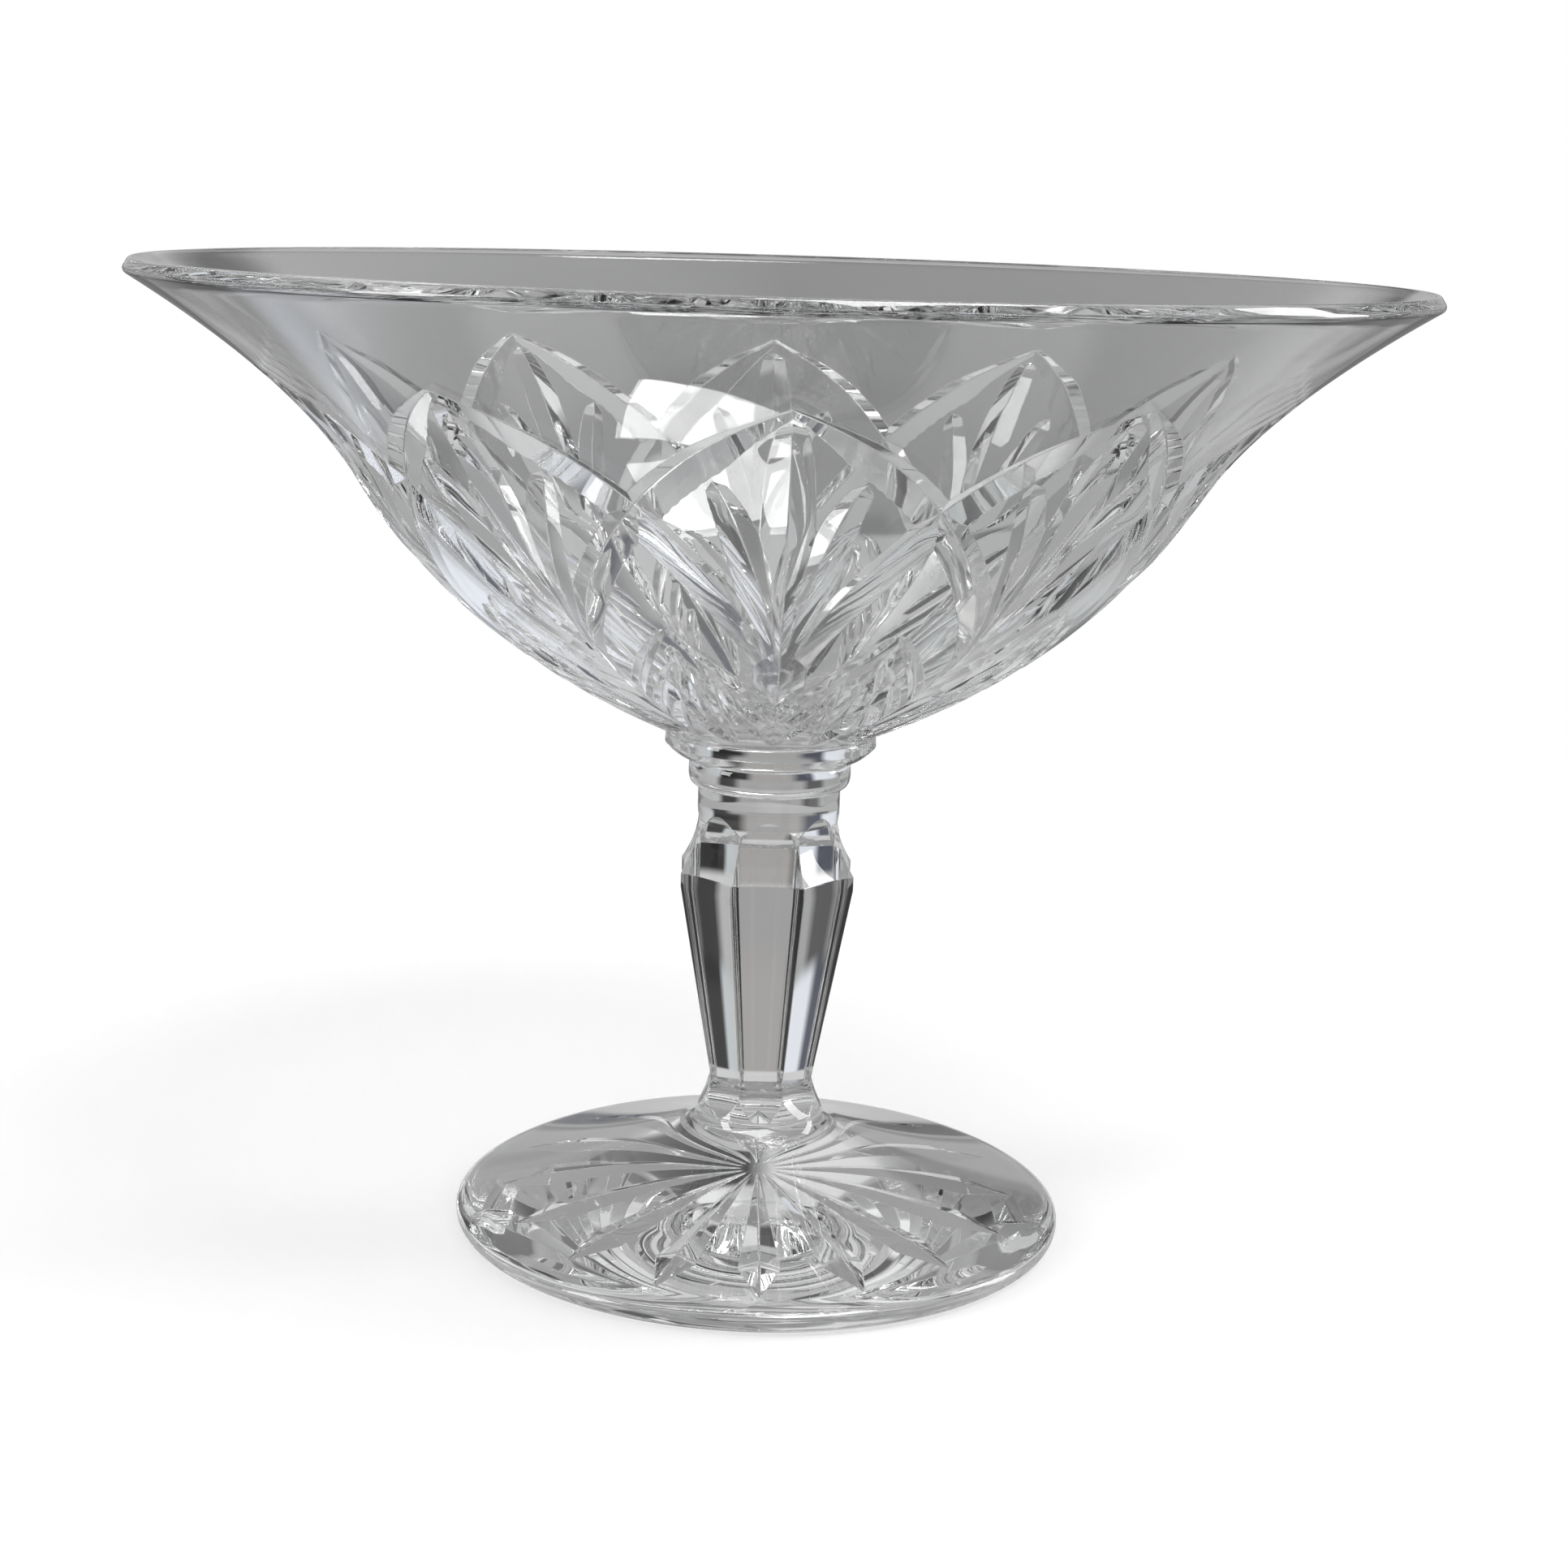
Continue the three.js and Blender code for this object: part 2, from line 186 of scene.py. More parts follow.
# A wheel's V with a rounded nose, swept along stations on the glass and repeated round the axis.
# Across a station the nose is an arc about c = b nose / sin(half), measured from the sharp corner
# p - d n, with b along the middle of the V, and its flanks rise to lift above the glass
def wheelCutter(name, stations, angles, wheel, copies, materials):
    p, n, s, d = stations
    left, right = np.radians(angles)
    half, lean = (left + right) / 2, (right - left) / 2
    b, q = np.array([math.sin(lean), math.cos(lean)]), np.array([math.cos(lean), -math.sin(lean)])
    theta = np.linspace(math.pi / 2 - half, half - math.pi / 2, wheel["noseSteps"] + 1)[:, None]
    nose = -(b * np.cos(theta) + q * np.sin(theta))
    arc = wheel["nose"] * (b / math.sin(half) + nose)
    height = (d + wheel["lift"])[:, None]
    noseSide, noseOut = (np.tile(arc[:, axis], (len(d), 1)) for axis in (0, 1))
    side = np.concatenate([noseSide, height * math.tan(right), -height * math.tan(left)], 1)
    out = np.concatenate([noseOut, height, height], 1) - d[:, None]
    one = p[:, None] + side[..., None] * s[:, None] + out[..., None] * n[:, None]
    near = np.concatenate([nose, [[0, 1], nose[0]]])
    far = np.concatenate([nose[1:], [nose[-1], [0, 1], nose[0]]])
    along = unit(np.gradient(one, axis=0))

    def swept(flat, along):
        raw = flat[None, :, :1] * s[:, None] + flat[None, :, 1:] * n[:, None]
        return unit(raw - (raw * along).sum(-1, keepdims=True) * along)

    near, far = swept(near, along), swept(far, np.roll(along, -1, axis=1))
    oneNormals = np.stack([near[:-1], near[1:], far[1:], far[:-1]], 2)
    turn = 2 * np.pi * np.arange(copies) / copies
    cosine, sine, zero = np.cos(turn), np.sin(turn), np.zeros(copies)
    spin = np.array([[cosine, -sine, zero], [sine, cosine, zero], [zero, zero, zero + 1]])
    points = np.einsum("abk,vcb->kvca", spin, one)
    normals = np.einsum("abk,vcqb->kvcqa", spin, oneNormals).reshape(-1, 3)
    index = np.arange(points.size // 3).reshape(points.shape[:3])
    after = np.roll(index, -1, axis=2)
    walls = np.stack([index[:, :-1], index[:, 1:], after[:, 1:], after[:, :-1]], -1).reshape(-1, 4)
    caps = np.concatenate([index[:, 0], index[:, -1, ::-1]])
    capNormals = np.tile([[0.0, 0.0, 1.0]], (caps.size, 1))
    faces = walls.tolist() + caps.tolist()
    normals = np.concatenate([normals, capNormals])
    return newObject(name, points.reshape(-1, 3), faces, normals, materials, cutSlot)


def carve(piece, tools, operation="DIFFERENCE"):
    for tool in tools:
        modifier = piece.modifiers.new(tool.name, "BOOLEAN")
        modifier.operation = operation
        modifier.solver = "MANIFOLD"
        modifier.material_mode = "INDEX"
        modifier.object = tool
    carved = piece.evaluated_get(bpy.context.evaluated_depsgraph_get())
    mesh = bpy.data.meshes.new_from_object(carved)
    piece.modifiers.clear()
    piece.data = mesh
    for tool in tools:
        bpy.data.objects.remove(tool)


# Every corner takes the normal it was made with, so curves are smooth and cut edges crisp.
# The wall of a groove faces the other way from the wheel that cut it
def polish(piece, cutFacing=-1):
    mesh = piece.data
    layer = mesh.attributes["surfaceNormal"]
    normals = np.empty(len(mesh.loops) * 3)
    layer.data.foreach_get("vector", normals)
    slots = np.empty(len(mesh.polygons), np.int32)
    mesh.polygons.foreach_get("material_index", slots)
    sizes = np.empty(len(mesh.polygons), np.int32)
    mesh.polygons.foreach_get("loop_total", sizes)
    facing = np.repeat(np.where(slots == cutSlot, cutFacing, 1), sizes)
    mesh.attributes.remove(layer)
    mesh.normals_split_custom_set((unit(normals.reshape(-1, 3)) * facing[:, None]).tolist())


# Materials
crystalLook = {
    "tint": (0.93, 0.935, 0.935),
    "ior": 1.545,
    "roughness": 0.0,
    "waveSize": 55.0,
    "waveHeight": 0.00004,
    "cutWaveHeight": 0.0,
    "edgeRadius": 0.00025,
    "edgeSamples": 8,
}


# Slow waviness of hand-blown glass and edges rounded by polishing, as a bent normal
def surfaceGroup():
    group = bpy.data.node_groups.new("glassSurface", "ShaderNodeTree")
    group.interface.new_socket("Radius", in_out="INPUT", socket_type="NodeSocketFloat")
    group.interface.new_socket("Scale", in_out="INPUT", socket_type="NodeSocketFloat")
    group.interface.new_socket("Height", in_out="INPUT", socket_type="NodeSocketFloat")
    group.interface.new_socket("Normal", in_out="OUTPUT", socket_type="NodeSocketVector")
    enter = group.nodes.new("NodeGroupInput")
    leave = group.nodes.new("NodeGroupOutput")
    place = group.nodes.new("ShaderNodeTexCoord")
    noise = group.nodes.new("ShaderNodeTexNoise")
    noise.inputs["Detail"].default_value = 1.0
    bump = group.nodes.new("ShaderNodeBump")
    edge = group.nodes.new("ShaderNodeBevel")
    edge.samples = crystalLook["edgeSamples"]
    group.links.new(enter.outputs["Radius"], edge.inputs["Radius"])
    group.links.new(edge.outputs["Normal"], bump.inputs["Normal"])
    group.links.new(place.outputs["Object"], noise.inputs["Vector"])
    group.links.new(enter.outputs["Scale"], noise.inputs["Scale"])
    group.links.new(enter.outputs["Height"], bump.inputs["Distance"])
    group.links.new(noise.outputs["Fac"], bump.inputs["Height"])
    group.links.new(bump.outputs["Normal"], leave.inputs["Normal"])
    return group


def crystalMaterial(name, surface, waveHeight):
    material = bpy.data.materials.new(name)
    material.use_nodes = True
    nodes, links = material.node_tree.nodes, material.node_tree.links
    shader = nodes["Principled BSDF"]
    shader.inputs["Base Color"].default_value = (*crystalLook["tint"], 1.0)
    shader.inputs["Metallic"].default_value = 0.0
    shader.inputs["Roughness"].default_value = crystalLook["roughness"]
    shader.inputs["IOR"].default_value = crystalLook["ior"]
    shader.inputs["Transmission Weight"].default_value = 1.0
    bent = nodes.new("ShaderNodeGroup")
    bent.node_tree = surface
    bent.inputs["Radius"].default_value = crystalLook["edgeRadius"]
    bent.inputs["Scale"].default_value = crystalLook["waveSize"]
    bent.inputs["Height"].default_value = waveHeight
    links.new(bent.outputs["Normal"], shader.inputs["Normal"])
    return material


# Inside a hot join there is no surface, so light goes straight through
def joinMaterial():
    material = bpy.data.materials.new("hotJoin")
    material.use_nodes = True
    nodes, links = material.node_tree.nodes, material.node_tree.links
    nodes.remove(nodes["Principled BSDF"])
    clear = nodes.new("ShaderNodeBsdfTransparent")
    links.new(clear.outputs["BSDF"], nodes["Material Output"].inputs["Surface"])
    return material


surface = surfaceGroup()
hotJoin = joinMaterial()
polished = crystalMaterial("polishedCrystal", surface, crystalLook["waveHeight"])
cutGlass = crystalMaterial("cutCrystal", surface, crystalLook["cutWaveHeight"])
glassSlots = [polished, cutGlass, hotJoin]
print("materials made")


# Seats and outer sizes come from the frame, in millimetres
def nodeBox(node):
    low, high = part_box(node)
    return np.array(low) / mm, np.array(high) / mm


footTop = nodeBox("foot")[1][2]
neckTop = nodeBox("stem")[1][2]
lowerRingTop = nodeBox("lower_merese")[1][2]
bowlFloor, rimTop = nodeBox("bowl")[0][2], nodeBox("bowl")[1][2]
rimRadius = nodeBox("bowl")[1][0]
footRadius = nodeBox("foot")[1][0]


def dress(piece, node):
    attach(piece, "root")
    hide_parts(node)


# Bowl
bowlSizes = {
    "seatRadius": 16.5,
    "seatSlope": 23.5,
    "waistRadius": 66.0,
    "waistHeight": 40.0,
    "waistSlope": 59.3,
    "rimSlope": 32.0,
    "rimThickness": 2.6,
    "lipRound": 0.8,
    "seatWall": 3.6,
    "columns": 192,
}
cutSizes = {
    "arches": 10,
    "plainBand": 21.8,
    "fanRoot": 25.0,
    "fanSpread": 1.75,
    "archDepth": 1.1,
    "archAngles": (64.0, 75.0),
    "legRootShare": 0.43,
    "legFull": (0.43, 0.86),
    "legTipShare": 0.3,
    "bladeAngle": 73.0,
    "fineAngle": 60.0,
    "bladeRise": 0.35,
    "bladeFall": 0.3,
    "bladeLowEnd": 4.0,
    "middleDrop": 2.4,
    "middleDepth": 1.4,
    "sideDrop": 14.5,
    "sideDepth": 1.15,
    "sideTurn": 8.4,
    "shortLowEnd": 3.0,
    "shortTip": 41.0,
    "shortDepth": 1.15,
    "shortFlankTurn": 6.0,
    "shortFlankDrop": 8.0,
    "lowArchTips": (45.0, 37.0, 29.0),
    "lowArchFall": 26.0,
    "lowArchDepth": 0.8,
    "tipClearance": 0.08,
    "step": 1.6,
}
wheel = {"nose": 0.35, "noseSteps": 3, "lift": 1.0}


# The lip's end is flat and square to the wall, between two small rounds about these centres
def lipCentres():
    corner = bowlSizes["lipRound"]
    across = (bowlSizes["rimThickness"] - 2 * corner) * heading(bowlSizes["rimSlope"] + 90)
    outer = np.array([rimRadius, rimTop]) - corner - [0, across[1]]
    return outer, outer + across


def bowlOutside():
    outer = lipCentres()[0]
    waist = (bowlSizes["waistRadius"], bowlFloor + bowlSizes["waistHeight"])
    seat = (bowlSizes["seatRadius"], bowlFloor)
    lipStart = outer + bowlSizes["lipRound"] * heading(bowlSizes["rimSlope"] - 90)
    cup = bend(seat, bowlSizes["seatSlope"], waist, bowlSizes["waistSlope"], 44)
    flare = bend(waist, bowlSizes["waistSlope"], lipStart, bowlSizes["rimSlope"], 30)
    return joinRows(cup, flare)


def bowlProfile():
    outside = bowlOutside()
    along = np.gradient(outside, axis=0)
    along /= np.linalg.norm(along, axis=1, keepdims=True)
    length = arcLength(outside)
    wall = np.interp(length / length[-1], [0, 1], [bowlSizes["seatWall"], bowlSizes["rimThickness"]])
    inside = outside + wall[:, None] * np.stack([-along[:, 1], along[:, 0]], -1)
    outer, inner = lipCentres()
    corner = bowlSizes["lipRound"] * heading(np.linspace(-90, 90, 17) + bowlSizes["rimSlope"])
    lip = joinRows(outer + corner[1:9], inner + corner[8:-1])
    edge = inside[0]
    fall = edge[0] / 2 * math.tan(math.radians(bowlSizes["seatSlope"]))
    dish = bend(edge, bowlSizes["seatSlope"] + 180, (0, edge[1] - fall), 180, 16)
    return joinRows((0, bowlFloor), outside, lip, inside[::-1], dish)


# Stations of a cut, low end to tip: azimuth = start + turn t^spread, with t = 0 up to the root
def bowlCut(start, turn, low, tip, depth, swell, root=None, spread=1):
    outside = bowlOutside()
    length = arcLength(outside)
    along = np.gradient(outside, length, axis=0)
    share = np.linspace(0, 1, math.ceil((tip - low) / cutSizes["step"]) + 1)
    s = low + share * (tip - low)
    root = low if root is None else root
    t = np.maximum(0, (s - root) / (tip - root))
    azimuth = np.radians(start + turn * t ** spread)
    r, z = np.interp(s, length, outside[:, 0]), np.interp(s, length, outside[:, 1])
    dr, dz = np.interp(s, length, along[:, 0]), np.interp(s, length, along[:, 1])
    p, n = around(r, z, azimuth), unit(around(dz, -dr, azimuth))
    side = unit(np.cross(np.gradient(p, axis=0), n))
    return p, n, side, depth * swell(share) - cutSizes["tipClearance"]


# Shares of the full depth: a blade's follows x^rise (1 - x)^fall, scaled to 1 at its deepest
def bladeSwell(share):
    rise, fall = cutSizes["bladeRise"], cutSizes["bladeFall"]
    deepest = rise / (rise + fall)
    return (share / deepest) ** rise * ((1 - share) / (1 - deepest)) ** fall


# An arch's leg fades towards the root of the next fan and towards the arch's point
def legSwell(share):
    full = cutSizes["legFull"]
    return np.interp(share, [0, *full, 1], [cutSizes["legRootShare"], 1, 1, cutSizes["legTipShare"]])


# Each cut with the angles of its two flanks from upright
def bowlCuts():
    sizes = cutSizes
    top = arcLength(bowlOutside())[-1] - sizes["plainBand"]
    step, low, short = 360 / sizes["arches"], sizes["bladeLowEnd"], sizes["shortLowEnd"]
    fan = {"root": sizes["fanRoot"], "spread": sizes["fanSpread"]}
    blade, fine, arch = (sizes["bladeAngle"],) * 2, (sizes["fineAngle"],) * 2, sizes["archAngles"]
    yield "middle", bowlCut(0, 0, low, top - sizes["middleDrop"], sizes["middleDepth"], bladeSwell), blade
    yield "short", bowlCut(step / 2, 0, short, sizes["shortTip"], sizes["shortDepth"], bladeSwell), fine
    for hand, name in ((1, "Right"), (-1, "Left")):
        leg = bowlCut(0, hand * step, sizes["fanRoot"], top, sizes["archDepth"], legSwell, **fan)
        yield "leg" + name, leg, arch[::hand]
        turn, tip = hand * sizes["sideTurn"], top - sizes["sideDrop"]
        yield "side" + name, bowlCut(0, turn, low, tip, sizes["sideDepth"], bladeSwell, **fan), blade
        turn, tip = hand * sizes["shortFlankTurn"], sizes["shortTip"] - sizes["shortFlankDrop"]
        yield "short" + name, bowlCut(step / 2, turn, short, tip, sizes["shortDepth"], bladeSwell), fine
        for tip in sizes["lowArchTips"]:
            turn, lowEnd = hand * step / 2, tip - sizes["lowArchFall"]
            lowLeg = bowlCut(step / 2 - turn, turn, lowEnd, tip, sizes["lowArchDepth"], bladeSwell)
            yield "lowLeg" + name, lowLeg, fine


profile = bowlProfile()
bowl = lathe("cutBowl", profile, roundSection(bowlSizes["columns"]), glassSlots, (True, False))
copies = cutSizes["arches"]
wheels = [wheelCutter(*cut, wheel, copies, glassSlots) for cut in bowlCuts()]
carve(bowl, wheels)
polish(bowl)
dress(bowl, "bowl")
print("bowl:", sum(len(face.vertices) - 2 for face in bowl.data.polygons), "triangles")


# Rings under the bowl: a wide one coved below, and a narrow one rounded all the way up
ringSizes = {
    "lowerSeat": 12.5,
    "wideRadius": 17.0,
    "wideEdgeHeight": 2.5,
    "narrowRadius": 13.1,
    "columns": 160,
}


def upperRing():
    seat, wide, top = ringSizes["lowerSeat"], ringSizes["wideRadius"], bowlSizes["seatRadius"]
    edge = lowerRingTop + ringSizes["wideEdgeHeight"]
    cove = curve((seat, lowerRingTop), ((seat + wide) / 2, lowerRingTop), (wide, edge), 24)
    shoulder = curve((wide, edge), (wide, bowlFloor), (top, bowlFloor), 24)
    return joinRows((0, lowerRingTop), cove, shoulder, (0, bowlFloor))


def lowerRing():
    seat, wide, top = stemSizes["neckRadius"], ringSizes["narrowRadius"], ringSizes["lowerSeat"]
    middle = (neckTop + lowerRingTop) / 2
    below = curve((seat, neckTop), (wide, neckTop), (wide, middle), 24)
    above = curve((wide, middle), (wide, lowerRingTop), (top, lowerRingTop), 24)
    return joinRows((0, neckTop), below, above, (0, lowerRingTop))


# Stem: an apothem is the distance from the axis to a flat
stemSizes = {
    "footSeat": 10.25,
    "neckRadius": 11.5,
    "panels": 8,
    "hollow": 0.03,
    "panelFootHeight": 6.0,
    "panelFootApothem": 8.3,
    "panelRunOut": 2.2,
    "beltHeight": 38.5,
    "beltWidth": 2.2,
    "beltApothem": 13.9,
    "bevelTopHeight": 49.0,
    "bevelTopApothem": 11.3,
    "arrisMargin": 0.25,
    "columns": 160,
}


# The stem before its flats are cut
def stemBlank():
    sizes = stemSizes
    toArris = 1 / math.cos(math.pi / sizes["panels"])
    shank = sizes["panelFootApothem"] * toArris + sizes["arrisMargin"]
    knop = sizes["beltApothem"] * toArris + sizes["arrisMargin"]
    panelFoot, belt = footTop + sizes["panelFootHeight"], footTop + sizes["beltHeight"]
    beltTop, bevelTop = belt + sizes["beltWidth"], footTop + sizes["bevelTopHeight"]
    third, middle = footTop + sizes["panelFootHeight"] / 3, (beltTop + bevelTop) / 2
    flare = curve((sizes["footSeat"], footTop), (shank, third), (shank, panelFoot), 24)
    shoulder = curve((knop, beltTop), (knop, middle), (sizes["neckRadius"], bevelTop), 24)
    sides = [(knop, belt), (knop, beltTop)]
    neck = np.linspace((sizes["neckRadius"], bevelTop), (sizes["neckRadius"], neckTop), 8)
    return joinRows((0, footTop), flare, sides, shoulder, neck, (0, neckTop))


# The space inside all of its flats: run-outs, tapering panels, belt and hollow bevels
def stemFlats():
    sizes = stemSizes
    low, high = footTop - sizes["panelRunOut"], neckTop + sizes["panelRunOut"]
    wide = sizes["footSeat"] + sizes["panelRunOut"]
    foot, belt = sizes["panelFootApothem"], sizes["beltApothem"]
    panelFoot, beltLow = footTop + sizes["panelFootHeight"], footTop + sizes["beltHeight"]
    beltTop, bevelTop = beltLow + sizes["beltWidth"], footTop + sizes["bevelTopHeight"]
    inner = sizes["bevelTopApothem"]
    control = (foot - sizes["arrisMargin"], footTop + sizes["panelRunOut"])
    runOut = curve((wide, low), control, (foot, panelFoot), 24)
    bevel = curve((belt, beltTop), (inner, (beltTop + bevelTop) / 2), (inner, bevelTop), 24)
    return joinRows((0, low), runOut, (belt, beltLow), bevel, (belt, high), (0, high))


profile = upperRing()
upper = lathe("wideRing", profile, roundSection(ringSizes["columns"]), glassSlots, (True, True))
polish(upper)
dress(upper, "upper_merese")
profile = lowerRing()
lower = lathe("narrowRing", profile, roundSection(ringSizes["columns"]), glassSlots, (True, True))
polish(lower)
dress(lower, "lower_merese")

profile = stemBlank()
stem = lathe("facetedStem", profile, roundSection(stemSizes["columns"]), glassSlots, (True, True))
panels = panelSection(stemSizes["panels"], stemSizes["hollow"])
flats = lathe("flats", stemFlats(), panels, glassSlots, (False, False), slot=cutSlot)
carve(stem, [flats], "INTERSECT")
polish(stem, cutFacing=1)
dress(stem, "stem")
print("rings and stem made")


# Foot
footSizes = {
    "edgeRound": 2.0,
    "shoulderHeight": 4.0,
    "shoulderWidth": 2.5,
    "shoulderSlope": 15.0,
    "coneRadius": 15.0,
    "coneHeight": 14.8,
    "coneSlope": 23.3,
    "neckSlope": 83.0,
    "columns": 240,
}
starSizes = {
    "rays": 16,
    "radius": 42.0,
    "widest": 33.0,
    "width": 6.4,
    "angle": 60.0,
    "endClearance": 0.06,
    "stations": 43,
}


def footProfile():
    sizes = footSizes
    rest, shoulder = footRadius - sizes["edgeRound"], footRadius - sizes["shoulderWidth"]
    corner = (shoulder, sizes["shoulderHeight"])
    cone = (sizes["coneRadius"], sizes["coneHeight"])
    under = np.linspace((1.0, 0.0), (rest, 0.0), 30)
    edge = curve((rest, 0), (footRadius, 0), (footRadius, sizes["edgeRound"]), 16)
    over = (footRadius, sizes["shoulderHeight"] - sizes["edgeRound"] / 2)
    roundOver = curve((footRadius, sizes["edgeRound"]), over, corner, 16)
    top = bend(corner, 180 - sizes["shoulderSlope"], cone, 180 - sizes["coneSlope"], 40)
    neck = (stemSizes["footSeat"], footTop)
    flare = bend(cone, 180 - sizes["coneSlope"], neck, 180 - sizes["neckSlope"], 24)
    return joinRows((0, 0), under, edge, roundOver, top, flare, (0, footTop))


# One ray: d rises evenly from the middle to the widest place, then falls to the tip
def starRay():
    sizes = starSizes
    deepest = sizes["width"] / 2 / math.tan(math.radians(sizes["angle"]))
    r = np.linspace(0, sizes["radius"], sizes["stations"])
    end = -sizes["endClearance"]
    d = np.interp(r, [0, sizes["widest"], sizes["radius"]], [end, deepest, end])
    p = around(r, 0.0, 0.0)
    n = np.broadcast_to([0.0, 0.0, -1.0], p.shape)
    side = np.broadcast_to([1.0, 0.0, 0.0], p.shape)
    return p, n, side, d


profile = footProfile()
foot = lathe("starFoot", profile, roundSection(footSizes["columns"]), glassSlots, (False, True))
rayAngles = (starSizes["angle"], starSizes["angle"])
ray = wheelCutter("starRays", starRay(), rayAngles, wheel, starSizes["rays"], glassSlots)
carve(foot, [ray])
polish(foot)
dress(foot, "foot")
print("foot made")


# Stage: a pale floor that keeps the shadow, in a white room
stage = {
    "floorHalf": 3.0,
    "floorDrop": 0.0003,
    "floorColour": 0.85,
    "shadowColour": 0.4,
    "shadowLift": 0.6,
    "shadowReach": (0.16, 0.5),
    "roomLight": 0.3,
}

# What the glass shows of them instead: the floor and the room glow in painted greys, so the glass
# reflects and passes painted shade and light. On the floor there is a painted shadow under the foot, a
# pale painted ring round it, and dark and pale patches where cards would stand. In the room there is a
# pale wall, a bright band like a window behind, and a dark side in front. Shades go by the sine of the
# bearing, -1 on the left and 1 on the right. Each ring of the floor starts between two distances from the
# axis, and each band of the room between two heights of the direction
farShades = {-0.3: 0.26, 0.0: 0.25, 0.2: 0.235, 0.4: 0.26}
paintedFloorRings = {
    # Painted shadow: the floor under the foot glows darker in the glass
    (0.0, 0.001): {0.0: 0.3},
    # Painted light: a paler ring glows round the foot and gives the foot its highlights
    (0.045, 0.055): {0.0: 0.66},
    # Painted dark and pale patches glow on the floor here, which the glass shows as dark and bright
    # facets
    (0.09, 0.11): {
        -0.9: 0.36,
        -0.75: (0.84, 0.87, 0.93),
        -0.45: (0.84, 0.87, 0.93),
        -0.38: (0.09, 0.095, 0.125),
        -0.25: (0.09, 0.095, 0.125),
        -0.16: (0.4, 0.39, 0.38),
        0.16: (0.4, 0.39, 0.38),
        0.24: 0.03,
        0.49: 0.02,
        0.54: (0.58, 0.62, 0.64),
        0.72: 0.56,
        0.86: 0.4,
    },
    (0.25, 0.29): {
        -0.58: 0.4,
        -0.5: 0.1,
        -0.36: 0.1,
        -0.28: 0.38,
        0.28: 0.38,
        0.36: 0.04,
        0.5: 0.04,
        0.58: 0.5,
    },
    (0.38, 0.44): {-0.5: 0.46, 0.0: 0.54, 0.2: 0.46, 0.5: 0.42},
    (0.66, 0.76): {0.0: 0.25},
    (1.1, 1.3): farShades,
}
studioBands = {
    (-1.0, -0.9): farShades,
    (0.0, 0.03): {-0.5: 0.4, -0.3: 0.56, 0.3: 0.54, 0.5: 0.4},
    (0.18, 0.24): {-0.55: 0.2, -0.42: 0.75, -0.06: 0.8, 0.06: 0.06, 0.5: 0.08, 0.7: 0.14},
    (0.45, 0.55): {-0.33: 0.7, 0.0: 0.58, 0.33: 0.9},
}
studioFront = {"low": 0.02, "high": 0.48, "rise": (0.45, 0.55), "turn": (-0.1, 0.1)}


def mathNode(tree, operation, a, b):
    node = tree.nodes.new("ShaderNodeMath")
    node.operation = operation
    tree.links.new(a, node.inputs[0])
    tree.links.new(b, node.inputs[1])
    return node.outputs[0]


# 0 below the first of two limits, 1 above the second, and a smooth step between them
def smoothStep(tree, value, limits):
    node = tree.nodes.new("ShaderNodeMapRange")
    node.interpolation_type = "SMOOTHSTEP"
    node.inputs["From Min"].default_value = limits[0]
    node.inputs["From Max"].default_value = limits[1]
    tree.links.new(value, node.inputs["Value"])
    return node.outputs["Result"]


# A shade is a grey level or three channels
def opaque(shade):
    return (*shade, 1.0) if isinstance(shade, tuple) else (shade, shade, shade, 1.0)


def setColour(tree, colour, socket):
    if isinstance(colour, bpy.types.NodeSocket):
        tree.links.new(colour, socket)
    else:
        socket.default_value = opaque(colour)


def mixColour(tree, factor, a, b):
    node = tree.nodes.new("ShaderNodeMix")
    node.data_type = "RGBA"
    tree.links.new(factor, node.inputs[0])
    setColour(tree, a, node.inputs[6])
    setColour(tree, b, node.inputs[7])
    return node.outputs[2]


def mixShader(tree, factor, a, b):
    node = tree.nodes.new("ShaderNodeMixShader")
    tree.links.new(factor, node.inputs["Fac"])
    tree.links.new(a, node.inputs[1])
    tree.links.new(b, node.inputs[2])
    return node.outputs["Shader"]


def emission(tree, colour):
    node = tree.nodes.new("ShaderNodeEmission")
    setColour(tree, colour, node.inputs["Color"])
    return node.outputs["Emission"]


def matte(tree, level):
    node = tree.nodes.new("ShaderNodeBsdfDiffuse")
    setColour(tree, level, node.inputs["Color"])
    return node.outputs["BSDF"]


# Rays straight from the camera, and rays that the glass reflects or passes
def rayKinds(tree):
    path = tree.nodes.new("ShaderNodeLightPath")
    glass = mathNode(tree, "MAXIMUM", path.outputs["Is Glossy Ray"], path.outputs["Is Transmission Ray"])
    return path.outputs["Is Camera Ray"], glass


# Shades by the sine of the bearing: sin(a) = x / sqrt(x^2 + y^2)
def bearingShade(tree, direction, shades):
    flat = tree.nodes.new("ShaderNodeVectorMath")
    flat.operation = "MULTIPLY"
    flat.inputs[1].default_value = (1.0, 1.0, 0.0)
    tree.links.new(direction, flat.inputs[0])
    level = tree.nodes.new("ShaderNodeVectorMath")
    level.operation = "NORMALIZE"
    tree.links.new(flat.outputs[0], level.inputs[0])
    split = tree.nodes.new("ShaderNodeSeparateXYZ")
    tree.links.new(level.outputs[0], split.inputs[0])
    share = tree.nodes.new("ShaderNodeMapRange")
    share.inputs["From Min"].default_value = -1.0
    tree.links.new(split.outputs["X"], share.inputs["Value"])
    ramp = tree.nodes.new("ShaderNodeValToRGB")
    stops = ramp.color_ramp.elements
    stops.remove(stops[1])
    for count, (sine, shade) in enumerate(shades.items()):
        stop = stops.new((sine + 1) / 2) if count else stops[0]
        stop.position = (sine + 1) / 2
        stop.color = opaque(shade)
    tree.links.new(share.outputs["Result"], ramp.inputs["Fac"])
    return ramp.outputs["Color"]


